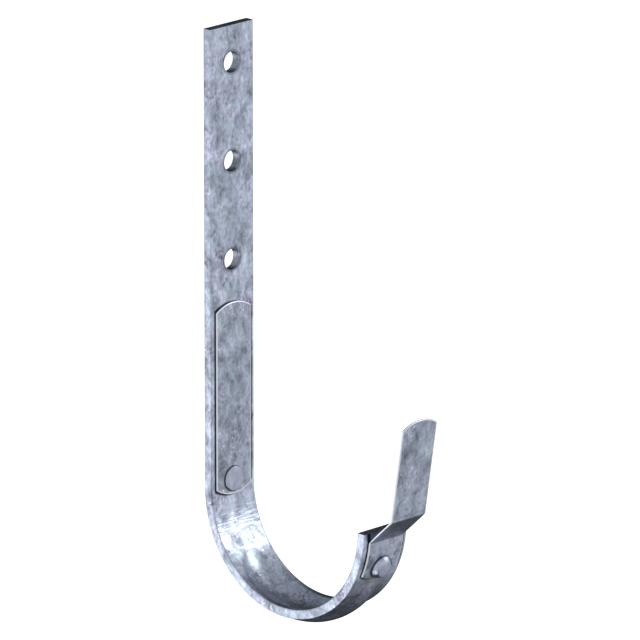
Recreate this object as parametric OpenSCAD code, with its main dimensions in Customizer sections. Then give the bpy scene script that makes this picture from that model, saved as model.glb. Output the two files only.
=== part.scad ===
// Gutter bracket for a small half-round gutter. A flat bar is bent into a hook that carries the
// gutter, and a bead pressed into the hook stiffens it. Two thin spring strips are riveted on:
// the rear one folds down over the gutter's back edge, the front one over its rolled front edge.
//
// Millimetres. The origin is the centre of the middle fixing hole, on the face that lies against
// the wall. +X points away from the wall, +Y across the bar and +Z up.

/* [Flat bar] */
// Width of the bar
bar_w = 25; // [23:1:32]
// Thickness of the bar
bar_t = 4; // [3:0.5:5]
// Radius of the bar's rolled edges
edge_r = 0.4; // [0.2:0.1:0.6]

/* [Shank] */
// Height of the shank above the hook's centre
shank_h = 194.8; // [184:0.2:260]
// Diameter of the three fixing holes
hole_d = 9; // [5:0.5:11]
// Distance from one fixing hole to the next
hole_pitch = 41.7; // [30:0.1:46]
// Distance from the shank's top end to the upper hole
hole_end = 15.6; // [10:0.2:22]

/* [Hook] */
// Inside diameter of the hook, the gutter's outside and a little play
hook_d = 83.5; // [76:0.5:110]
// Angle the hook turns through from the shank's foot to its cut end
hook_sweep = 179; // [172:1:184]

/* [Stiffening bead] */
// Depth of the bead
bead_depth = 3.5; // [2:0.1:4]
// Radius of the bead's section on the hollow side
bead_r = 15; // [13:0.5:17]
// Angle round the hook at which the hollow begins
bead_from = 43; // [35:1:55]
// Angle round the hook at which the hollow ends
bead_to = 147; // [138:1:148]
// Radius on which the hollow rises out at its rear end
bead_rear_rise = 6; // [5:1:7]
// Radius on which the hollow rises out at its front end
bead_front_rise = 8; // [6:1:8]

/* [Spring strips] */
// Width of both strips
strip_w = 20; // [14:1:22]
// Thickness of both strips
strip_t = 0.8; // [0.5:0.1:1.5]
// Radius of the strips' rounded ends
strip_end_r = 18; // [12:1:40]
// Height of the rear strip above the hook's centre
rear_rise = 77.9; // [50:0.1:82]
// Depth of the rear strip's tip below the hook's centre
rear_drop = 4.3; // [4:0.1:8]
// Angle below the hook's centre of the front strip's lower tip
front_tip = 29.5; // [28.5:0.1:30.5]
// Angle below the hook's centre at which the front strip leaves the hook
front_leave = 6.7; // [4:0.1:9]
// Inside radius of the front strip's two bends
front_bend_r = 1.2; // [0.8:0.1:3]
// Slope of the front strip's oblique leg, up from level
front_slope = 42.6; // [35:0.5:55]
// Straight length of the oblique leg
front_oblique = 15.6; // [10:0.1:24]
// Angle by which the upright leg leans out
front_lean = 9; // [0:0.5:20]
// Length of the upright leg to its tip
front_upright = 43; // [25:0.5:60]

/* [Rivets] */
// Diameter of the rivets' shanks
rivet_d = 6; // [4:0.5:7]
// Diameter of the set heads
head_d = 10.5; // [9:0.5:12]
// Height of the front head
head_h = 2.4; // [1.5:0.1:3]
// Height of the front head's upright rim
head_rim = 0.5; // [0.2:0.1:0.8]
// Diameter of the flat on top of the front head
head_flat = 7; // [5:0.5:8]
// Height of the rear head, which is hammered low so that the gutter slides past it
rear_head_h = 0.6; // [0.5:0.1:1.2]
// Height of the rear head's upright rim
rear_head_rim = 0.3; // [0.1:0.1:0.4]
// Width of the flush closing heads
close_d = 8.6; // [7.6:0.2:9]
// Depth of the flush closing heads
close_h = 1.3; // [0.8:0.1:1.8]
// Height of the rear rivet above the hook's centre
rear_rivet_z = 2.3; // [1:0.1:8]
// Angle below the hook's centre of the front rivet
front_rivet_a = 22; // [19:0.5:23]
// Play all round the rivets in their holes
rivet_play = 0.05; // [0.02:0.01:0.1]

/* [Hidden] */
$fn = 96;
in_r = hook_d / 2;
out_r = in_r + bar_t;
// Radius of the faces that the strips add to the hook, inside at the rear and outside in front
rear_face_r = in_r - strip_t;
front_face_r = out_r + strip_t;
// Height of the middle fixing hole above the hook's centre
middle_hole = shank_h - hole_end - hole_pitch;
// The hook turns from 180 degrees, at the shank, through 270 degrees, at the bottom
hook_a = 180;
// How far a cutting body passes a face, and how far the bead's back is let into the bar
past = 2;
let_in = 0.3;
// Flat steps round each bend of the front strip, and along its curved foot
bend_steps = 8;
foot_steps = 24;
// Circle round the hook's centre that carries the middle of the bead's round section
bead_path_r = in_r + bead_depth - bead_r;
// How far the bead's ends turn, and the rear strip's foot curves, before they are cut off
end_turn = 100;
foot_turn = 45;
// Direction across the front strip's oblique leg, and the centres of its lower and upper bend
front_across = front_slope + 90;
lower_bend = (front_face_r + front_bend_r) * along(-front_leave);
upper_bend = lower_bend + front_bend_r * along(front_across) + front_oblique * along(front_slope)
    + (front_bend_r + strip_t) * along(front_across);
// The upright leg's tip, level with the upper bend's centre across the leg
front_top = upper_bend + front_upright * along(90 - front_lean);

// ---------------------------------------------------------------- places and sweeps
// Each piece is drawn with Z = 0 level with the hook's centre, and is then lowered as a whole

module lowered() {
    translate([0, 0, -middle_hole]) children();
}

// The hook's centre, with a child's XY plane turned upright into the bracket's XZ plane
module at_hook() {
    translate([out_r, 0, 0]) rotate([90, 0, 0]) children();
}

// Sweeps a flat section round the hook's centre, from one angle through another
module swept(from, turn) {
    at_hook() rotate([0, 0, from]) rotate_extrude(angle = turn) children();
}

// The hook's centre, with a child's +Z axis turned outward at an angle below the hook's front
module outward(below) {
    translate([out_r, 0, 0]) rotate([0, 90 + below, 0]) children();
}

// A solid cylinder on the hook's axis, to trim what seats on the hook's faces
module hook_core(r) {
    at_hook() cylinder(r = r, h = bar_w + 2 * past, center = true);
}

// ---------------------------------------------------------------- strap

// Section of the flat bar, thickness along X from 0 and width along Y
module bar_section() {
    translate([edge_r, -bar_w / 2]) square([bar_t - 2 * edge_r, bar_w]);
    translate([0, edge_r - bar_w / 2]) square([bar_t, bar_w - 2 * edge_r]);
    for (x = [edge_r, bar_t - edge_r], y = [edge_r - bar_w / 2, bar_w / 2 - edge_r])
        translate([x, y]) circle(edge_r);
}

// Angle from a rising end's start to where its floor, of section radius r, meets radius face_r
function rise_angle(r, rise_r, face_r) =
    let (off = bead_path_r - rise_r)
    acos((face_r * face_r + off * off - pow(rise_r + r, 2)) / (2 * face_r * off));

// One end of the bead: its round section turns inward on the tighter radius rise_r
module bead_end(r, rise_r, turn) {
    translate([bead_path_r - rise_r, 0, 0])
        rotate_extrude(angle = turn)
            intersection() {
                translate([rise_r, 0]) circle(r);
                translate([0, -r]) square([rise_r + r, 2 * r]);
            }
}

// Body of the bead, with section radius r: the hollow, or the back that stands out behind it
module bead_body(r) {
    from = hook_a + bead_from + rise_angle(bead_r, bead_rear_rise, in_r);
    to = hook_a + bead_to - rise_angle(bead_r, bead_front_rise, in_r);
    swept(from, to - from) translate([bead_path_r, 0]) circle(r);
    at_hook() rotate([0, 0, to]) bead_end(r, bead_front_rise, end_turn);
    at_hook() rotate([0, 0, from]) bead_end(r, bead_rear_rise, -end_turn);
}

// The bead's back, only where it stands out of the bar
module bead_back() {
    intersection() {
        bead_body(bead_r + bar_t);
        swept(hook_a, hook_sweep)
            translate([out_r - let_in, -bar_w / 2]) square([bead_depth + let_in + past, bar_w]);
    }
}

module strap() {
    color([0.66, 0.70, 0.76]) lowered()
    difference() {
        union() {
            linear_extrude(shank_h) bar_section();
            swept(hook_a, hook_sweep) translate([in_r, 0]) bar_section();
            bead_back();
        }
        bead_body(bead_r);
        for (i = [-1, 0, 1])
            translate([-past, 0, middle_hole + i * hole_pitch]) rotate([0, 90, 0])
                cylinder(d = hole_d, h = bar_t + 2 * past);
        rear_rivet_place() rivet_hole();
        front_rivet_place() rivet_hole();
    }
}

// ---------------------------------------------------------------- spring strips

// Outline of a strip that ends in a rounded tip, from X = 0 to the tip at X = length
module strip_outline(length) {
    intersection() {
        translate([0, -strip_w / 2]) square([length, strip_w]);
        union() {
            translate([0, -strip_w / 2]) square([length - strip_end_r, strip_w]);
            translate([length - strip_end_r, 0]) circle(strip_end_r);
        }
    }
}

module rear_spring() {
    color([0.60, 0.64, 0.71]) lowered()
    difference() {
        intersection() {
            union() {
                translate([bar_t, -strip_w / 2, 0]) cube([strip_t, strip_w, rear_rise]);
                swept(hook_a, foot_turn) translate([rear_face_r, -strip_w / 2]) square([strip_t, strip_w]);
            }
            // Rounded outline of the whole strip, seen from the front
            union() {
                translate([bar_t - past, 0, 0]) rotate([0, -90, 0]) mirror([0, 0, 1])
                    linear_extrude(3 * past) strip_outline(rear_rise);
                translate([bar_t - past, 0, past]) rotate([0, 90, 0])
                    linear_extrude(3 * past) strip_outline(rear_drop + past);
            }
        }
        rear_rivet_place() rivet_hole();
    }
}

// Unit vector at an angle, and points along an arc, which may leave out its first point
function along(angle) = [cos(angle), sin(angle)];
function arc(centre, r, from, to, steps, first = 0) =
    [for (i = [first:steps]) centre + r * along(from + (to - from) * i / steps)];

// Side view of the front strip, round the hook's centre: up its outer face from the tip of its
// foot, past the two bends, and down its inner face again
function front_profile() =
    let (seat_r = out_r / cos((front_tip - front_leave) / foot_steps / 2))
    concat(
        arc([0, 0], front_face_r, -front_tip, -front_leave, foot_steps),
        arc(lower_bend, front_bend_r, 180 - front_leave, front_across, bend_steps, 1),
        arc(upper_bend, front_bend_r + strip_t, front_across - 180, -front_lean, bend_steps),
        [front_top + (front_bend_r + strip_t) * along(-front_lean)],
        [front_top + front_bend_r * along(-front_lean)],
        arc(upper_bend, front_bend_r, -front_lean, front_across - 180, bend_steps),
        arc(lower_bend, front_bend_r + strip_t, front_across, 180 - front_leave, bend_steps),
        arc([0, 0], seat_r, -front_leave, -front_tip, foot_steps, 1)
    );

// Wide plate with one rounded end, to cut a strip's tip: the tip is at X = 0, the rest along +X
module tip_cutter(length) {
    translate([strip_end_r, 0]) circle(strip_end_r);
    translate([strip_end_r, -strip_end_r]) square([length, 2 * strip_end_r]);
}

module front_spring() {
    color([0.60, 0.64, 0.71]) lowered()
    difference() {
        intersection() {
            at_hook() linear_extrude(strip_w, center = true) polygon(front_profile());
            // Rounded tip of the foot
            outward(front_tip) rotate([0, 0, 180])
                linear_extrude(2 * hook_d) tip_cutter(2 * hook_d);
            // Rounded tip of the upright leg
            at_hook() translate([front_top[0], front_top[1], 0]) rotate([90, 0, 270 - front_lean])
                linear_extrude(2 * hook_d, center = true) tip_cutter(2 * hook_d);
        }
        front_rivet_place() rivet_hole();
    }
}

// ---------------------------------------------------------------- rivets

// A rivet's own frame lies on the bar's far face, with its shank along +Z towards the strip
module rear_rivet_place() {
    translate([0, 0, rear_rivet_z]) rotate([0, 90, 0]) children();
}

module front_rivet_place() {
    outward(front_rivet_a) translate([0, 0, in_r]) children();
}

// Shank and flush closing head, larger all round by grow, and running past the bar's far face
module rivet_core(grow) {
    translate([0, 0, -past]) cylinder(d = rivet_d + 2 * grow, h = bar_t + strip_t + 2 * past);
    translate([0, 0, -past]) cylinder(d = close_d + 2 * grow, h = past);
    cylinder(d1 = close_d + 2 * grow, d2 = rivet_d + 2 * grow, h = close_h);
}

module rivet_hole() {
    rivet_core(rivet_play);
}

// Set head: a dome with a short upright rim and a flat top, reaching down into the strip until
// it is trimmed to its seat
module set_head(height, rim, flat) {
    dome_z = (pow(flat / 2, 2) + pow(height, 2) - pow(head_d / 2, 2) - pow(rim, 2))
        / (2 * (height - rim));
    dome_r = sqrt(pow(head_d / 2, 2) + pow(rim - dome_z, 2));
    translate([0, 0, bar_t + strip_t])
        intersection() {
            translate([0, 0, -strip_t]) cylinder(d = head_d, h = height + strip_t);
            translate([0, 0, dome_z]) sphere(dome_r);
        }
}

module rear_rivet() {
    seat_x = bar_t + strip_t;
    rear_flat = head_d - 2 * (rear_head_h - rear_head_rim);
    color([0.62, 0.65, 0.73]) lowered() {
        difference() {
            rear_rivet_place() rivet_core(0);
            translate([-2 * past, -bar_w / 2, -bar_w]) cube([2 * past, bar_w, 2 * bar_w]);
        }
        difference() {
            rear_rivet_place() set_head(rear_head_h, rear_head_rim, rear_flat);
            translate([0, -bar_w / 2, 0]) cube([seat_x, bar_w, bar_w]);
            swept(hook_a, foot_turn) translate([rear_face_r, -bar_w / 2]) square([seat_x, bar_w]);
        }
    }
}

module front_rivet() {
    color([0.62, 0.65, 0.73]) lowered() {
        difference() {
            front_rivet_place() rivet_core(0);
            hook_core(in_r);
        }
        difference() {
            front_rivet_place() set_head(head_h, head_rim, head_flat);
            hook_core(front_face_r);
        }
    }
}

strap();
rear_spring();
front_spring();
rear_rivet();
front_rivet();
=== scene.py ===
import math

import bmesh
import bpy
from mathutils import Matrix, Vector


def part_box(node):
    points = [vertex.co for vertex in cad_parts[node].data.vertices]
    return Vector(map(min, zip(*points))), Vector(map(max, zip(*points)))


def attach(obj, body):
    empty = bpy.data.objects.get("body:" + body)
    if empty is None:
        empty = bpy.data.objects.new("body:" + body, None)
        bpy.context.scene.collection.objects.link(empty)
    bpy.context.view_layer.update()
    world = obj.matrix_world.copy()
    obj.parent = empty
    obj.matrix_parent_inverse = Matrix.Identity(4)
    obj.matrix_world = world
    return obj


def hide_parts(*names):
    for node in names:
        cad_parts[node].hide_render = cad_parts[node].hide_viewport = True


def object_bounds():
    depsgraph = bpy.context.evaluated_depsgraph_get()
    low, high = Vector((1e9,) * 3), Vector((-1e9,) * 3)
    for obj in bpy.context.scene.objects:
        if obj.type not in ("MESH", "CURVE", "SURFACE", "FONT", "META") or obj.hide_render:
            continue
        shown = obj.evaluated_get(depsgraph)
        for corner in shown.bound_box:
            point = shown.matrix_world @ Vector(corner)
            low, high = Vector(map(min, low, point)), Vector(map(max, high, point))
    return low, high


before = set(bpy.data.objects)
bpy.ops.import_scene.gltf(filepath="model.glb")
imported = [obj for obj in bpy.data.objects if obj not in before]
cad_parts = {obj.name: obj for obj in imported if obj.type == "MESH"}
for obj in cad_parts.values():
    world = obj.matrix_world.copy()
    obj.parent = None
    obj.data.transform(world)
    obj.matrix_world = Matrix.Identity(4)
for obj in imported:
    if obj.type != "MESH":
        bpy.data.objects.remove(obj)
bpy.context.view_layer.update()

# ------------------------------------------------------------------ the flat bar and its hook
# Hot-rolled flat bar, 25 by 4 mm, cut to length, drilled three times for screws and twice for
# rivets, then bent round a former into the hook. A bead pressed along the hook's bottom, hollow
# inside and proud outside, keeps the hook from opening under the weight of water.

bar_low, bar_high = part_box("strap")
BAR_WIDTH = bar_high.y - bar_low.y
BAR_THICK = 0.004
BAR_EDGE_R = 0.0004
HOOK_INNER_R = 0.04175
HOOK_OUTER_R = HOOK_INNER_R + BAR_THICK
HOOK_SWEEP = math.radians(179)
SHANK_HEIGHT = 0.1948
HOOK_CENTRE = Vector((HOOK_OUTER_R, 0, bar_high.z - SHANK_HEIGHT))
FIXING_HOLE_R = 0.0045
FIXING_HOLE_PITCH = 0.0417

BEAD_DEPTH = 0.0035
BEAD_R = 0.015
BEAD_FROM = math.radians(38)
BEAD_TO = math.radians(147)
BEAD_REAR_RISE = 0.012
BEAD_FRONT_RISE = 0.022
BEAD_INNER_LIP = 0.00045
BEAD_OUTER_LIP = 0.0002
BEAD_PATH_R = HOOK_INNER_R + BEAD_DEPTH - BEAD_R


def start_fresh():
    """Leaves edit mode with nothing selected."""
    if bpy.context.object and bpy.context.object.mode != "OBJECT":
        bpy.ops.object.mode_set(mode="OBJECT")
    bpy.ops.object.select_all(action="DESELECT")


def pick(piece, kind, wanted):
    """In edit mode, selects only the faces or edges of a piece that wanted() accepts."""
    bpy.ops.mesh.select_all(action="DESELECT")
    bpy.ops.mesh.select_mode(type=kind)
    form = bmesh.from_edit_mesh(piece.data)
    parts = form.faces if kind == "FACE" else form.edges
    for part in parts:
        if wanted(part):
            part.select_set(True)
    bmesh.update_edit_mesh(piece.data)


def apply_all(piece):
    """Applies a piece's modifiers in order, and its place."""
    start_fresh()
    bpy.context.view_layer.objects.active = piece
    piece.select_set(True)
    for modifier in list(piece.modifiers):
        bpy.ops.object.modifier_apply(modifier=modifier.name)
    bpy.ops.object.transform_apply(location=True, rotation=True, scale=True)


def ease_edges(piece, width, steps, angle=35):
    """Rounds a piece's sharp edges, and shades it smooth between them."""
    bevel = piece.modifiers.new("broken edges", "BEVEL")
    bevel.width = width
    bevel.segments = steps
    bevel.limit_method = "ANGLE"
    bevel.angle_limit = math.radians(angle)
    bevel.miter_outer = "MITER_ARC"
    apply_all(piece)
    bpy.ops.object.shade_smooth_by_angle(angle=math.radians(angle))


def bead_push(angle, y, face_r, section_r, lip):
    """How far the bead pushes a face of the hook outward, at an angle round it from the shank."""

    def rise_angle(rise):
        off = BEAD_PATH_R - rise
        floor_r = rise + BEAD_R
        return math.acos((HOOK_INNER_R ** 2 + off ** 2 - floor_r ** 2) / (2 * HOOK_INNER_R * off))

    half = math.sqrt(max(section_r ** 2 - y ** 2, 0))
    start = BEAD_FROM + rise_angle(BEAD_REAR_RISE)
    end = BEAD_TO - rise_angle(BEAD_FRONT_RISE)
    if angle < start:
        rise, past = BEAD_REAR_RISE, start - angle
    elif angle > end:
        rise, past = BEAD_FRONT_RISE, angle - end
    else:
        rise, past = BEAD_PATH_R, 0
    off = BEAD_PATH_R - rise
    reach = max((rise + half) ** 2 - (off * math.sin(past)) ** 2, 0)
    push = off * math.cos(past) + math.sqrt(reach) - face_r
    return (push + math.sqrt(push ** 2 + lip ** 2)) / 2


start_fresh()
bpy.ops.mesh.primitive_cube_add(size=1, location=(0, 0, 0))
bar = bpy.context.object
bar.name = "bar_hook"
bar.scale = (BAR_THICK, BAR_WIDTH, SHANK_HEIGHT)
bar.location = (BAR_THICK / 2, 0, HOOK_CENTRE.z + SHANK_HEIGHT / 2)
bpy.ops.object.transform_apply(location=True, rotation=True, scale=True)

# The rolled edges run the length of the bar
bpy.ops.object.mode_set(mode="EDIT")
pick(bar, "EDGE", lambda e: abs(e.verts[0].co.z - e.verts[1].co.z) > SHANK_HEIGHT / 2)
bpy.ops.mesh.bevel(offset=BAR_EDGE_R, segments=3, affect="EDGES")

# Lengthwise lines, so that the bead can be pressed into a smooth face
LINES_ACROSS = 60
for line in range(1, LINES_ACROSS):
    bpy.ops.mesh.select_all(action="SELECT")
    y = (line / LINES_ACROSS - 0.5) * (BAR_WIDTH - 2 * BAR_EDGE_R)
    bpy.ops.mesh.bisect(plane_co=(0, y, 0), plane_no=(0, 1, 0))

# The shank's foot is opened, and its rim is spun round the hook's centre
BEND_STEPS = 240
TOUCH = 1e-5
foot_z = HOOK_CENTRE.z
pick(bar, "FACE", lambda f: all(abs(v.co.z - foot_z) < TOUCH for v in f.verts))
bpy.ops.mesh.delete(type="ONLY_FACE")
pick(bar, "EDGE", lambda e: e.is_boundary)
bpy.ops.mesh.spin(steps=BEND_STEPS, angle=HOOK_SWEEP, center=HOOK_CENTRE, axis=(0, 1, 0))
bpy.ops.mesh.edge_face_add()


def round_hook(place):
    """A place's angle round the hook from the shank, and its distance from the hook's axis."""
    out = place - HOOK_CENTRE
    return math.atan2(-out.z, -out.x), math.hypot(out.x, out.z)


# The press: both faces of the hook are pushed out together
PRESSED = (math.radians(15), math.radians(165))
form = bmesh.from_edit_mesh(bar.data)
for vert in form.verts:
    angle, radius = round_hook(vert.co)
    if vert.co.z < foot_z - TOUCH and PRESSED[0] < angle < PRESSED[1]:
        if radius < HOOK_INNER_R + BAR_THICK / 2:
            push = bead_push(angle, vert.co.y, HOOK_INNER_R, BEAD_R, BEAD_INNER_LIP)
        else:
            section_r = BEAD_R + BAR_THICK
            push = bead_push(angle, vert.co.y, HOOK_OUTER_R, section_r, BEAD_OUTER_LIP)
        vert.co -= push * Vector((math.cos(angle), 0, math.sin(angle)))
bmesh.update_edit_mesh(bar.data)
bpy.ops.mesh.select_all(action="SELECT")
bpy.ops.mesh.remove_doubles(threshold=1e-6)
bpy.ops.mesh.normals_make_consistent(inside=False)
start_fresh()

# Fixing holes, and the rivets' holes with their sinks on the bar's far face
RIVET_R = 0.003
RIVET_PLAY = 0.00005
CLOSE_R = 0.0043
CLOSE_DEPTH = 0.0013
REAR_RIVET_UP = 0.0023
FRONT_RIVET_BELOW = math.radians(22)
front_rivet_out = Vector((math.cos(FRONT_RIVET_BELOW), 0, -math.sin(FRONT_RIVET_BELOW)))
rear_rivet_at = Vector((0, 0, foot_z + REAR_RIVET_UP))
front_rivet_at = HOOK_CENTRE + HOOK_INNER_R * front_rivet_out
turn_to_rear = Vector((1, 0, 0)).to_track_quat("Z", "Y").to_euler()
turn_to_front = front_rivet_out.to_track_quat("Z", "Y").to_euler()


def drill(low_r, high_r, depth, place, turn):
    """Cuts the bar with a drill or a sink that stands at place, turned along its hole."""
    start_fresh()
    bpy.ops.mesh.primitive_cone_add(
        vertices=72, radius1=low_r, radius2=high_r, depth=depth, location=place, rotation=turn
    )
    tool = bpy.context.object
    cut = bar.modifiers.new("drilled", "BOOLEAN")
    cut.operation = "DIFFERENCE"
    cut.solver = "EXACT"
    cut.object = tool
    start_fresh()
    bpy.context.view_layer.objects.active = bar
    bar.select_set(True)
    bpy.ops.object.modifier_apply(modifier=cut.name)
    bpy.data.objects.remove(tool)


for step in (-1, 0, 1):
    drill(FIXING_HOLE_R, FIXING_HOLE_R, 4 * BAR_THICK, (0, 0, step * FIXING_HOLE_PITCH), turn_to_rear)
for place, turn in ((rear_rivet_at, turn_to_rear), (front_rivet_at, turn_to_front)):
    hole_r = RIVET_R + RIVET_PLAY
    drill(hole_r, hole_r, 4 * BAR_THICK, place, turn)
    drill(2 * CLOSE_R - hole_r + 2 * RIVET_PLAY, hole_r, 2 * CLOSE_DEPTH, place, turn)

ease_edges(bar, 0.00025, 2)

# The bar unrolled as a map in metres: along it from its top, and across it. The back lies beside
# the front, and the edges beside the back.
SIDE_APART = 0.06
HOOK_MEAN_R = HOOK_INNER_R + BAR_THICK / 2
unrolled = bar.data.uv_layers.new(name="unrolled")
for face in bar.data.polygons:
    angle, _ = round_hook(face.center)
    bent = face.center.z < foot_z
    outward = -math.cos(angle) * face.normal.x - math.sin(angle) * face.normal.z
    outward = outward if bent else -face.normal.x
    side = 0 if outward < -0.5 else SIDE_APART if outward > 0.5 else 2 * SIDE_APART
    for corner in face.loop_indices:
        place = bar.data.vertices[bar.data.loops[corner].vertex_index].co
        along = bar_high.z - place.z
        if place.z < foot_z:
            along = SHANK_HEIGHT + HOOK_MEAN_R * round_hook(place)[0]
        unrolled.data[corner].uv = (along, place.y + side)


# Hot-dip galvanised steel: a coat of zinc some 60 microns thick, drained and cooled in air. It is
# a grey metal that leans to blue and to violet in clouds, mottled where its crystals lie
# differently, drawn down the way it drained, with small bright pips and a few fine curved runs,
# and dull enough to spread every reflection.

def srgb(code):
    """An sRGB hex colour as linear red, green, blue and alpha."""
    parts = [int(code[i:i + 2], 16) / 255 for i in (0, 2, 4)]
    linear = [p / 12.92 if p <= 0.04045 else ((p + 0.055) / 1.055) ** 2.4 for p in parts]
    return (*linear, 1)


def add_node(tree, kind, inputs=(), take=0, **options):
    """Adds a shader node and takes one of its outputs. An input is a value or another's output."""
    node = tree.nodes.new(kind)
    for name, value in options.items():
        setattr(node, name, value)
    for name, value in dict(inputs).items():
        if isinstance(value, bpy.types.NodeSocket):
            tree.links.new(value, node.inputs[name])
        else:
            node.inputs[name].default_value = value
    return node.outputs[take]


def zinc_finish(name, blue, violet, contrast, pip_share, uneven):
    """Galvanised zinc: its two greys, how far it is mottled, how many pips, how uneven it lies."""
    finish = bpy.data.materials.new(name)
    finish.use_nodes = True
    tree = finish.node_tree
    shader = tree.nodes["Principled BSDF"]
    place = add_node(tree, "ShaderNodeTexCoord", take="Object")
    drawn = add_node(tree, "ShaderNodeMapping", {"Vector": place, "Scale": (1, 1, 0.70)})

    # Patterns: their size in metres, detail, roughness and distortion, and if they are drawn down
    pattern = {}
    for key, size, detail, rough, wander, is_drawn in (
        ("clouds", 0.011, 2, 0.50, 0.4, False),
        ("tint", 0.009, 2, 0.50, 0.6, False),
        ("mottle", 0.0046, 3, 0.55, 0.7, True),
        ("crumbs", 0.0012, 1, 0.50, 0.3, True),
        ("run line", 0.0075, 2, 0.50, 1.2, True),
        ("run place", 0.0060, 1, 0.50, 0.0, False),
        ("pip place", 0.0090, 2, 0.50, 0.0, False),
        ("swell", 0.0050, 2, 0.50, 0.6, False),
    ):
        pattern[key] = add_node(
            tree, "ShaderNodeTexNoise",
            {"Vector": drawn if is_drawn else place, "Scale": 1 / size, "Detail": detail,
             "Roughness": rough, "Distortion": wander}
        )

    # Runs are thin lines where a slow pattern passes its middle, and pips lie in loose groups
    spots = add_node(
        tree, "ShaderNodeTexVoronoi", {"Vector": place, "Scale": 1 / 0.0024}, take="Distance"
    )
    spot_lot = add_node(
        tree, "ShaderNodeTexVoronoi", {"Vector": place, "Scale": 1 / 0.0024}, take="Color"
    )
    lot = add_node(tree, "ShaderNodeSeparateColor", {"Color": spot_lot})
    chosen = add_node(tree, "ShaderNodeMath", {0: lot, 1: pip_share}, operation="LESS_THAN")
    off_line = add_node(
        tree, "ShaderNodeMath", {0: pattern["run line"], 1: 0.5, 2: 0.010}, operation="COMPARE"
    )
    masks = []
    for value, low, high in (
        (spots, 0.27, 0.12), (pattern["pip place"], 0.50, 0.60), (pattern["run place"], 0.50, 0.60),
        (pattern["tint"], 0.40, 0.60),
    ):
        masks.append(add_node(
            tree, "ShaderNodeMapRange", {"Value": value, "From Min": low, "From Max": high},
            interpolation_type="SMOOTHSTEP"
        ))
    round_spots, pips_here, runs_here, to_violet = masks
    pips = add_node(tree, "ShaderNodeMath", {0: round_spots, 1: chosen}, operation="MULTIPLY")
    pips = add_node(tree, "ShaderNodeMath", {0: pips, 1: pips_here}, operation="MULTIPLY")
    runs = add_node(tree, "ShaderNodeMath", {0: off_line, 1: runs_here}, operation="MULTIPLY")

    # The tone is 1 on average, and each pattern moves it up and down by its share
    crumbs = add_node(
        tree, "ShaderNodeMath", {0: pattern["crumbs"], 1: 0.5}, operation="SUBTRACT"
    )
    crumbs = add_node(tree, "ShaderNodeMath", {0: crumbs, 1: pips_here}, operation="MULTIPLY")
    shares = (
        (pattern["mottle"], 1.6 * contrast), (pattern["clouds"], 1.0 * contrast),
        (pattern["crumbs"], 0.75 * contrast)
    )
    tone = 1 - sum(share / 2 for _, share in shares)
    shares += ((crumbs, 0.7 * contrast),)
    for value, share in shares:
        tone = add_node(
            tree, "ShaderNodeMath", {0: value, 1: share, 2: tone}, operation="MULTIPLY_ADD"
        )
    tone = add_node(
        tree, "ShaderNodeMath", {0: runs, 1: -0.14 * contrast, 2: tone}, operation="MULTIPLY_ADD"
    )
    greys = add_node(
        tree, "ShaderNodeMix", {0: to_violet, 6: srgb(blue), 7: srgb(violet)}, take=2,
        data_type="RGBA"
    )
    toned = add_node(
        tree, "ShaderNodeVectorMath", {0: greys, "Scale": tone}, operation="SCALE"
    )
    bright = add_node(tree, "ShaderNodeMath", {0: pips, 1: 0.9}, operation="MULTIPLY")
    speckled = add_node(
        tree, "ShaderNodeMix", {0: bright, 6: toned, 7: srgb("EEF2F8")}, take=2, data_type="RGBA"
    )
    tree.links.new(speckled, shader.inputs["Base Color"])
    shader.inputs["Metallic"].default_value = 1.0
    dull = add_node(
        tree, "ShaderNodeMapRange",
        {"Value": pattern["mottle"], "From Min": 0.3, "From Max": 0.7, "To Min": 0.41, "To Max": 0.31}
    )
    tree.links.new(dull, shader.inputs["Roughness"])

    # The coat lies unevenly: soft swells a few millimetres wide, with the pips standing on it
    height = add_node(
        tree, "ShaderNodeMath", {0: pips, 1: 0.5, 2: pattern["swell"]}, operation="MULTIPLY_ADD"
    )
    bump = add_node(
        tree, "ShaderNodeBump", {"Height": height, "Strength": uneven, "Distance": 0.0006}
    )
    tree.links.new(bump, shader.inputs["Normal"])
    return finish


def coat(piece, finish, node):
    """Gives a piece its finish, hides the solid it stands for, and hangs it on the root body."""
    piece.data.materials.clear()
    piece.data.materials.append(finish)
    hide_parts(node)
    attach(piece, "root")


bar_zinc = zinc_finish("galvanised flat bar", "B2BDCD", "B7BCCF", 1.10, 0.4, 0.13)
coat(bar, bar_zinc, "strap")

# Fine ripples lie across the bar where the bend starts, from the former
bar_map = add_node(bar_zinc.node_tree, "ShaderNodeUVMap", uv_map="unrolled")
bar_along = add_node(bar_zinc.node_tree, "ShaderNodeSeparateXYZ", {"Vector": bar_map}, take="X")
RIPPLES_MIDDLE = SHANK_HEIGHT + HOOK_MEAN_R * math.radians(24)
RIPPLES_HALF = HOOK_MEAN_R * math.radians(20)
RIPPLE_APART = 0.0011
RIPPLE_LONG = 0.009
ripple_map = add_node(
    bar_zinc.node_tree, "ShaderNodeMapping",
    {"Vector": bar_map, "Scale": (1 / RIPPLE_APART, 1 / RIPPLE_LONG, 1)}
)
ripple = add_node(
    bar_zinc.node_tree, "ShaderNodeTexNoise", {"Vector": ripple_map, "Scale": 1, "Detail": 1},
    noise_dimensions="2D"
)
off_ripples = add_node(
    bar_zinc.node_tree, "ShaderNodeMath", {0: bar_along, 1: RIPPLES_MIDDLE, 2: RIPPLES_HALF},
    operation="SUBTRACT"
)
off_ripples = add_node(bar_zinc.node_tree, "ShaderNodeMath", {0: off_ripples}, operation="ABSOLUTE")
strength = add_node(
    bar_zinc.node_tree, "ShaderNodeMapRange",
    {"Value": off_ripples, "From Min": RIPPLES_HALF, "From Max": 0, "To Max": 0.6}
)
bar_shader = bar_zinc.node_tree.nodes["Principled BSDF"]
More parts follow.
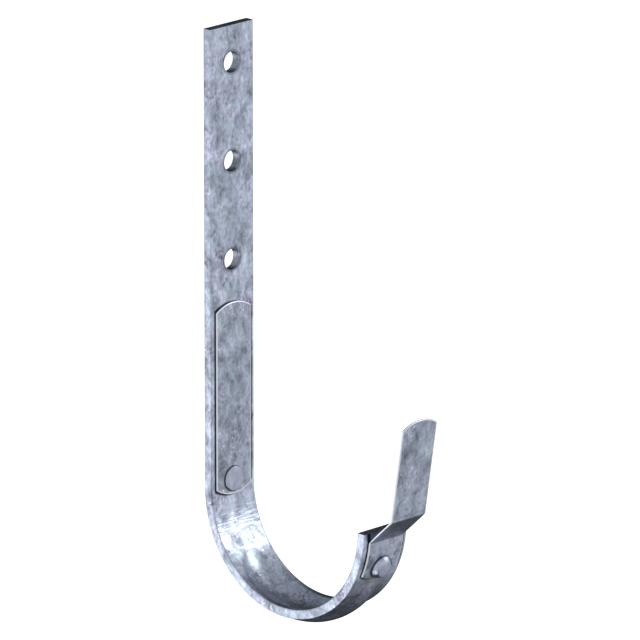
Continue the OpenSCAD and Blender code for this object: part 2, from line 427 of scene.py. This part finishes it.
rippled = add_node(
    bar_zinc.node_tree, "ShaderNodeBump",
    {"Height": ripple, "Strength": strength, "Distance": 0.0003,
     "Normal": bar_shader.inputs["Normal"].links[0].from_socket}
)
bar_zinc.node_tree.links.new(rippled, bar_shader.inputs["Normal"])


def paint_shade(finish, distance, reach, depth):
    """Paints shade into a finish: darkens it towards a near-black grey, by depth at most, up to reach
    away from a joint or a hole.
    """
    tree = finish.node_tree
    shader = tree.nodes["Principled BSDF"]
    distance = add_node(tree, "ShaderNodeMath", {0: distance}, operation="ABSOLUTE")
    shade_share = add_node(
        tree, "ShaderNodeMapRange",
        {"Value": distance, "From Min": reach, "From Max": 0.5 * reach, "To Max": depth},
        interpolation_type="SMOOTHSTEP"
    )
    # The painted shade's colour is a near-black grey
    shade_mixed = add_node(
        tree, "ShaderNodeMix",
        {0: shade_share, 6: shader.inputs["Base Color"].links[0].from_socket, 7: srgb("222429")}, take=2,
        data_type="RGBA"
    )
    tree.links.new(shade_mixed, shader.inputs["Base Color"])


# Painted shade: the holes' walls and rims are darkened towards a near-black grey
hole_room = add_node(bar_zinc.node_tree, "ShaderNodeSeparateXYZ", {"Vector": bar_map}, take="Y")
for operation, value in (("ADD", SIDE_APART / 2), ("FLOORED_MODULO", SIDE_APART),
                         ("SUBTRACT", SIDE_APART / 2)):
    hole_room = add_node(
        bar_zinc.node_tree, "ShaderNodeMath", {0: hole_room, 1: value}, operation=operation
    )
on_any_side = add_node(
    bar_zinc.node_tree, "ShaderNodeCombineXYZ", {"X": bar_along, "Y": hole_room}
)
off_holes = 1.0
for step in (-1, 0, 1):
    hole_centre = (bar_high.z - step * FIXING_HOLE_PITCH, 0, 0)
    off_centre = add_node(
        bar_zinc.node_tree, "ShaderNodeVectorMath", {0: on_any_side, 1: hole_centre}, take="Value",
        operation="DISTANCE"
    )
    off_holes = add_node(
        bar_zinc.node_tree, "ShaderNodeMath", {0: off_centre, 1: off_holes}, operation="MINIMUM"
    )
off_holes = add_node(
    bar_zinc.node_tree, "ShaderNodeMath", {0: off_holes, 1: FIXING_HOLE_R}, operation="SUBTRACT"
)
paint_shade(bar_zinc, off_holes, 0.0012, 0.45)

# ------------------------------------------------------------------ the rear spring strip
# Thin spring strip, 20 by 0.8 mm, blanked with rounded ends and laid flat on the shank. Only its
# foot is riveted, so that its upper length can be pulled forward and down over the gutter's back.

STRIP_WIDTH = 0.020
STRIP_THICK = 0.0008
STRIP_END_R = 0.018
STRIP_EDGE_R = 0.00034
END_SHAPING = 0.008
ROW = 0.0006
RIVET_HEAD_R = 0.00525
REAR_RISE = 0.0779
REAR_DROP = 0.0043


def blank_strip(name, rows, rivet_along, way):
    """A flat strip along +X from its tip at 0, with rows of vertices at these lengths along it.
    Its map is turned over where way is -1."""
    start_fresh()
    bpy.ops.mesh.primitive_grid_add(x_subdivisions=len(rows) - 1, y_subdivisions=28, size=1)
    piece = bpy.context.object
    piece.name = name
    length = rows[-1]
    for vert in piece.data.vertices:
        along = rows[round((vert.co.x + 0.5) * (len(rows) - 1))]
        y = vert.co.y * STRIP_WIDTH
        sag = STRIP_END_R - math.sqrt(STRIP_END_R ** 2 - y ** 2)
        drawn_in = sag * max(0, 1 - min(along, length - along) / END_SHAPING)
        along += drawn_in if along < length / 2 else -drawn_in
        vert.co = (along, y, 0)
    # The blank's map in metres is measured from its rivet
    flat = piece.data.uv_layers.new(name="blank")
    for loop in piece.data.loops:
        place = piece.data.vertices[loop.vertex_index].co
        flat.data[loop.index].uv = (place.x - rivet_along, way * place.y)
    return piece


def thicken(piece, start, end):
    """Gives a bent blank its thickness, under its faces, and rounds its edges fully. It notes how
    far outside its outline each point is, by its map, on which it lies from start to end."""
    wall = piece.modifiers.new("strip thickness", "SOLIDIFY")
    wall.thickness = STRIP_THICK
    wall.offset = -1
    wall.use_even_offset = True
    ease_edges(piece, STRIP_EDGE_R, 4)
    outside = piece.data.attributes.new("outside outline", "FLOAT", "POINT")
    flat = piece.data.uv_layers["blank"]
    for loop in piece.data.loops:
        u, v = flat.data[loop.index].uv
        off_tips = [
            math.hypot(min(way * (u - tip) - STRIP_END_R, 0), v) - STRIP_END_R
            for way, tip in ((1, start), (-1, end))
        ]
        outside.data[loop.vertex_index].value = max(abs(v) - STRIP_WIDTH / 2, *off_tips)


rear_length = REAR_RISE + REAR_DROP
rear_rows = [rear_length * row / round(rear_length / ROW) for row in range(round(rear_length / ROW) + 1)]
rear_rivet_along = REAR_RISE - REAR_RIVET_UP
rear_strip = blank_strip("rear_strip", rear_rows, rear_rivet_along, 1)
rear_face_r = HOOK_INNER_R - STRIP_THICK
for vert in rear_strip.data.vertices:
    height = REAR_RISE - vert.co.x
    if height >= 0:
        vert.co = (BAR_THICK + STRIP_THICK, vert.co.y, foot_z + height)
    else:
        angle = -height / rear_face_r
        turn = Vector((-math.cos(angle), 0, -math.sin(angle)))
        vert.co = HOOK_CENTRE + rear_face_r * turn + Vector((0, vert.co.y, 0))
thicken(rear_strip, -rear_rivet_along, rear_length - rear_rivet_along)


# Painted shade round a strip, on the bar where the strip lies: wider along its far side, and narrow at
# its tips, where it is widest on the near side
JOINT_SHADE_REACH = 0.0012
JOINT_SHADE_DEPTH = 0.92
JOINT_SHADE_FAR_SIDE = 0.0003
JOINT_SHADE_NEAR_TIPS = 0.0010
JOINT_SHADE_THIN_TIPS = 0.0005


def strip_outline(flat_map, side, start, end):
    """How far a point of a flat map is outside a strip that lies along it from start to end."""
    tree = flat_map.node.id_data
    along = add_node(tree, "ShaderNodeSeparateXYZ", {"Vector": flat_map}, take="X")
    across = add_node(tree, "ShaderNodeSeparateXYZ", {"Vector": flat_map}, take="Y")
    off_side = add_node(
        tree, "ShaderNodeMath", {0: across, 1: side + JOINT_SHADE_FAR_SIDE}, operation="SUBTRACT"
    )
    off_side = add_node(tree, "ShaderNodeMath", {0: off_side}, operation="ABSOLUTE")
    across = add_node(
        tree, "ShaderNodeMath", {0: across, 1: side - JOINT_SHADE_NEAR_TIPS}, operation="SUBTRACT"
    )
    outside = add_node(
        tree, "ShaderNodeMath", {0: off_side, 1: STRIP_WIDTH / 2}, operation="SUBTRACT"
    )
    for way, tip in ((1, start), (-1, end)):
        past = add_node(
            tree, "ShaderNodeMath", {0: along, 1: way, 2: -way * tip - STRIP_END_R},
            operation="MULTIPLY_ADD"
        )
        past = add_node(tree, "ShaderNodeMath", {0: past, 1: 0}, operation="MINIMUM")
        both = add_node(tree, "ShaderNodeCombineXYZ", {"X": past, "Y": across})
        reach = add_node(tree, "ShaderNodeVectorMath", {0: both}, take="Value", operation="LENGTH")
        off_tip = add_node(
            tree, "ShaderNodeMath", {0: reach, 1: STRIP_END_R - JOINT_SHADE_THIN_TIPS},
            operation="SUBTRACT"
        )
        outside = add_node(tree, "ShaderNodeMath", {0: outside, 1: off_tip}, operation="MAXIMUM")
    return outside


# Painted shade on the bar round the rear strip
rear_foot_at = SHANK_HEIGHT + HOOK_MEAN_R * REAR_DROP / rear_face_r
paint_shade(
    bar_zinc, strip_outline(bar_map, 0, SHANK_HEIGHT - REAR_RISE, rear_foot_at),
    JOINT_SHADE_REACH, JOINT_SHADE_DEPTH
)

strip_zinc = zinc_finish("galvanised spring strip", "A8B2C1", "ADB2C4", 1.0, 0.35, 0.13)
strip_map = add_node(strip_zinc.node_tree, "ShaderNodeUVMap", uv_map="blank")
# Painted highlight: the strip's edges are painted near-white, as if they caught the light
outside = add_node(
    strip_zinc.node_tree, "ShaderNodeAttribute", take="Fac", attribute_name="outside outline"
)
edge_highlight = add_node(
    strip_zinc.node_tree, "ShaderNodeMapRange",
    {"Value": outside, "From Min": -0.0007, "From Max": -0.0004, "To Max": 1.0},
    interpolation_type="SMOOTHSTEP"
)
strip_shader = strip_zinc.node_tree.nodes["Principled BSDF"]
strip_grey = strip_shader.inputs["Base Color"].links[0].from_socket
edge_highlighted = add_node(
    strip_zinc.node_tree, "ShaderNodeMix", {0: edge_highlight, 6: strip_grey, 7: srgb("F2F6FF")}, take=2,
    data_type="RGBA"
)
strip_zinc.node_tree.links.new(edge_highlighted, strip_shader.inputs["Base Color"])
# Painted shade round a rivet's head on the strip, wider on its near side
off_rivet = add_node(
    strip_zinc.node_tree, "ShaderNodeVectorMath", {0: strip_map, 1: (0, -0.0004, 0)}, take="Value",
    operation="DISTANCE"
)
off_head = add_node(
    strip_zinc.node_tree, "ShaderNodeMath", {0: off_rivet, 1: RIVET_HEAD_R}, operation="SUBTRACT"
)
paint_shade(strip_zinc, off_head, 0.0005, 0.85)
coat(rear_strip, strip_zinc, "rear_spring")

# ------------------------------------------------------------------ the front spring strip
# The same strip, riveted by its foot to the outside of the hook. It is bent twice, out and then
# up, which leaves room for the gutter's rolled front edge before it is folded back over it.

FRONT_TIP_BELOW = math.radians(29.5)
FRONT_LEAVE_BELOW = math.radians(6.7)
FRONT_BEND_R = 0.0012
FRONT_SLOPE = math.radians(42.6)
FRONT_OBLIQUE = 0.0156
FRONT_LEAN = math.radians(9)
FRONT_UPRIGHT = 0.043
front_face_r = HOOK_OUTER_R + STRIP_THICK

first_bend = math.pi / 2 - FRONT_LEAVE_BELOW - FRONT_SLOPE
second_bend = math.pi / 2 - FRONT_LEAN - FRONT_SLOPE
# Runs of the strip's outer face, from its foot's tip up: length, turn to the left over it, rows
front_runs = (
    (front_face_r * (FRONT_TIP_BELOW - FRONT_LEAVE_BELOW), FRONT_TIP_BELOW - FRONT_LEAVE_BELOW, 30),
    (FRONT_BEND_R * first_bend, -first_bend, 8),
    (FRONT_OBLIQUE, 0, 26),
    ((FRONT_BEND_R + STRIP_THICK) * second_bend, second_bend, 8),
    (FRONT_UPRIGHT, 0, 70),
)


def front_place(along):
    """The place on the strip's outer face, a length along it from its foot's tip."""
    place = front_face_r * Vector((math.cos(FRONT_TIP_BELOW), 0, -math.sin(FRONT_TIP_BELOW)))
    heading = math.pi / 2 - FRONT_TIP_BELOW
    for length, turn, _ in front_runs:
        part = min(along, length)
        share = turn * part / length
        chord = 2 * part / share * math.sin(share / 2) if share else part
        place += chord * Vector((math.cos(heading + share / 2), 0, math.sin(heading + share / 2)))
        heading += share
        along -= part
    return HOOK_CENTRE + place


front_rows = [0]
for length, _, steps in front_runs:
    run_start = front_rows[-1]
    front_rows += [run_start + length * step / steps for step in range(1, steps + 1)]
front_rivet_along = front_face_r * (FRONT_TIP_BELOW - FRONT_RIVET_BELOW)
front_strip = blank_strip("front_strip", front_rows, front_rivet_along, -1)
for vert in front_strip.data.vertices:
    vert.co = front_place(vert.co.x) - Vector((0, vert.co.y, 0))
# The painted edge highlight is held back from its foot's tip, so no bright edge is painted there
FOOT_HIGHLIGHT_HELD_BACK = 0.0012
thicken(front_strip, -front_rivet_along - FOOT_HIGHLIGHT_HELD_BACK, front_rows[-1] - front_rivet_along)
front_tip_at = SHANK_HEIGHT + HOOK_MEAN_R * (math.pi - FRONT_TIP_BELOW)
front_leave_at = SHANK_HEIGHT + HOOK_MEAN_R * (math.pi - FRONT_LEAVE_BELOW)
# Painted shade on the bar round the front strip
paint_shade(
    bar_zinc,
    strip_outline(bar_map, SIDE_APART, front_tip_at, front_leave_at + END_SHAPING),
    JOINT_SHADE_REACH, JOINT_SHADE_DEPTH
)
coat(front_strip, strip_zinc, "front_spring")

# ------------------------------------------------------------------ the two rivets
# Flat round-head steel rivets with 6 mm shanks, set hot-dipped: the head lies on the strip, and
# the other end is hammered flush into a sink in the bar. The rear one is hammered almost flat.

DOME_STEPS = 7
HEAD_EDGE_R = 0.00012


def set_rivet(name, place, turn, seat, head_height, head_rim, flat_r):
    """A rivet that stands at place on the bar's far face, its head's rim moved to its seat."""
    start_fresh()
    bpy.ops.mesh.primitive_circle_add(vertices=96, radius=CLOSE_R, fill_type="NGON")
    piece = bpy.context.object
    piece.name = name
    bpy.ops.object.mode_set(mode="EDIT")
    bpy.ops.mesh.select_all(action="SELECT")

    # Rings of the rivet from its closed end: height and radius
    head_foot = BAR_THICK + STRIP_THICK
    rings = [(CLOSE_DEPTH, RIVET_R), (head_foot, RIVET_R), (head_foot, RIVET_HEAD_R)]
    rise = head_height - head_rim
    centre = (flat_r ** 2 + head_height ** 2 - RIVET_HEAD_R ** 2 - head_rim ** 2) / (2 * rise)
    dome_r = math.hypot(RIVET_HEAD_R, head_rim - centre)
    for step in range(DOME_STEPS + 1):
        height = head_rim + rise * step / DOME_STEPS
        rings.append((head_foot + height, math.sqrt(dome_r ** 2 - (height - centre) ** 2)))
    last_height, last_r = 0, CLOSE_R
    for height, radius in rings:
        lift = {"value": (0, 0, height - last_height)}
        bpy.ops.mesh.extrude_region_move(TRANSFORM_OT_translate=lift)
        bpy.ops.transform.resize(value=(radius / last_r, radius / last_r, 1))
        last_height, last_r = height, radius
    bpy.ops.mesh.inset(thickness=flat_r / 2)
    bpy.ops.mesh.select_all(action="SELECT")
    bpy.ops.mesh.normals_make_consistent(inside=False)
    start_fresh()
    piece.data.transform(Matrix.Translation(place) @ turn.to_matrix().to_4x4())
    for vert in piece.data.vertices:
        seat(vert)
    ease_edges(piece, HEAD_EDGE_R, 2, angle=30)
    return piece


def rear_seat(vert):
    """The rear strip is flat where the head lies, but for the start of the hook's curve."""
    drop = foot_z - vert.co.z
    if drop > 0 and vert.co.x > BAR_THICK:
        vert.co.x = max(vert.co.x, HOOK_CENTRE.x - math.sqrt(rear_face_r ** 2 - drop ** 2))


def front_seat(vert):
    """The hook curves away under the head and round the closed end, so both rims follow it."""
    _, radius = round_hook(vert.co)
    foot_r = (vert.co - HOOK_CENTRE).dot(front_rivet_out)
    for face_r in (front_face_r, HOOK_INNER_R):
        if abs(foot_r - face_r) < TOUCH:
            vert.co -= front_rivet_out * (radius - face_r)


rivet_zinc = zinc_finish("galvanised rivet", "B3BBCB", "B5B9CE", 0.35, 0.10, 0.10)
rear_rivet = set_rivet(
    "rear_rivet_set", rear_rivet_at, turn_to_rear, rear_seat, 0.0006, 0.0003, 0.00495
)
coat(rear_rivet, rivet_zinc, "rear_rivet")
front_rivet = set_rivet(
    "front_rivet_set", front_rivet_at, turn_to_front, front_seat, 0.0024, 0.0005, 0.0035
)
coat(front_rivet, rivet_zinc, "front_rivet")

# ------------------------------------------------------------------ the studio
# A white paper floor well below the bracket, which hangs as it does on a wall. The camera sees
# white all round. The zinc sees a grey room, pale at eye height, dark underneath and dark straight
# behind, and three soft boxes: one on the left, one in front, and a small low one by the camera.

FLOOR_DROP = 0.30
low_corner, high_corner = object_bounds()
middle = (low_corner + high_corner) / 2
start_fresh()
bpy.ops.mesh.primitive_plane_add(size=8, location=(0, 0, low_corner.z - FLOOR_DROP))
floor = bpy.context.object
floor.name = "studio_floor"
floor.visible_glossy = False
paper = bpy.data.materials.new("white paper floor")
paper.use_nodes = True
sheet = paper.node_tree
fibres = sheet.nodes["Principled BSDF"]
fibres.inputs["Base Color"].default_value = srgb("F2F3F5")
fibres.inputs["Roughness"].default_value = 0.9
# A little light of its own for the camera alone, so that the paper is white and its shadow stays
to_camera = add_node(sheet, "ShaderNodeLightPath", take="Is Camera Ray")
lift = add_node(sheet, "ShaderNodeMath", {0: to_camera, 1: 0.80}, operation="MULTIPLY")
sheet.links.new(lift, fibres.inputs["Emission Strength"])
fibres.inputs["Emission Color"].default_value = srgb("FFFFFF")
floor.data.materials.append(paper)

world = bpy.data.worlds.new("grey room, white to the camera")
bpy.context.scene.world = world
world.use_nodes = True
room = world.node_tree
heading = add_node(room, "ShaderNodeTexCoord", take="Generated")
height = add_node(room, "ShaderNodeSeparateXYZ", {"Vector": heading}, take="Z")
up_share = add_node(room, "ShaderNodeMapRange", {"Value": height, "From Min": -1})
# Grey of the room from straight down to straight up
ROOM_GREYS = ((0, "38393C"), (0.06, "606164"), (0.13, "B0B1B4"), (0.18, "EEEFF1"),
              (0.27, "CDCED1"), (0.36, "E7E8EA"),
              (0.5, "E7E8EA"), (0.66, "E7E8EA"), (0.86, "C4C5C8"), (1, "A4A5A8"))
level_node = room.nodes.new("ShaderNodeValToRGB")
room.links.new(up_share, level_node.inputs["Fac"])
ramp = level_node.color_ramp
while len(ramp.elements) < len(ROOM_GREYS):
    ramp.elements.new(0.5)
for stop, (share, grey) in zip(ramp.elements, ROOM_GREYS):
    stop.position = share
    stop.color = srgb(grey)
BEHIND = Vector((-0.70, 0.70, -0.06)).normalized()
facing = add_node(
    room, "ShaderNodeVectorMath", {0: heading, 1: BEHIND}, take="Value", operation="DOT_PRODUCT"
)
shade = add_node(
    room, "ShaderNodeMapRange", {"Value": facing, "From Min": 0.26, "From Max": 0.86},
    interpolation_type="SMOOTHSTEP"
)
darkened = add_node(
    room, "ShaderNodeMix", {0: shade, 6: level_node.outputs["Color"], 7: srgb("08090A")}, take=2,
    data_type="RGBA"
)
to_camera = add_node(room, "ShaderNodeLightPath", take="Is Camera Ray")
through = add_node(room, "ShaderNodeLightPath", take="Is Transmission Ray")
seen = add_node(room, "ShaderNodeMath", {0: to_camera, 1: through}, operation="MAXIMUM")
whole = add_node(
    room, "ShaderNodeMix", {0: seen, 6: darkened, 7: srgb("FFFFFF")}, take=2, data_type="RGBA"
)
room.links.new(whole, room.nodes["Background"].inputs["Color"])


def soft_box(name, towards, distance, size, power):
    """A square soft box a distance from the bracket's middle, turned to it, unseen by the camera."""
    start_fresh()
    place = middle + distance * Vector(towards).normalized()
    bpy.ops.object.light_add(type="AREA", location=place)
    light = bpy.context.object
    light.name = name
    light.data.size = size
    light.data.energy = power
    light.rotation_euler = (middle - place).to_track_quat("-Z", "Y").to_euler()
    light.visible_camera = False


soft_box("left soft box", (-0.67, -0.69, -0.68), 0.8, 0.6, 0.98)
soft_box("front soft box", (0.60, 0.69, 0.43), 1.6, 0.66, 4.3)
soft_box("low soft box", (0.16, -0.42, -0.89), 1.4, 0.7, 3.4)

# ------------------------------------------------------------------ the camera
# A long lens from the front left, a little above the bracket.

AZIMUTH = math.radians(44.30)
ELEVATION = math.radians(16.08)
DISTANCE = 4.0972
LENS_MM = 567.0
looked_at = Vector((0.05418, 0, HOOK_CENTRE.z + 0.07999))
towards = Vector((
    math.sin(AZIMUTH) * math.cos(ELEVATION), -math.cos(AZIMUTH) * math.cos(ELEVATION),
    math.sin(ELEVATION)
))
start_fresh()
bpy.ops.object.camera_add(location=looked_at + towards * DISTANCE)
camera = bpy.context.object
camera.rotation_euler = (-towards).to_track_quat("-Z", "Y").to_euler()
camera.data.lens = LENS_MM
camera.data.sensor_width = 36
camera.data.clip_end = 20
bpy.context.scene.camera = camera
bpy.context.scene.view_settings.view_transform = "Standard"
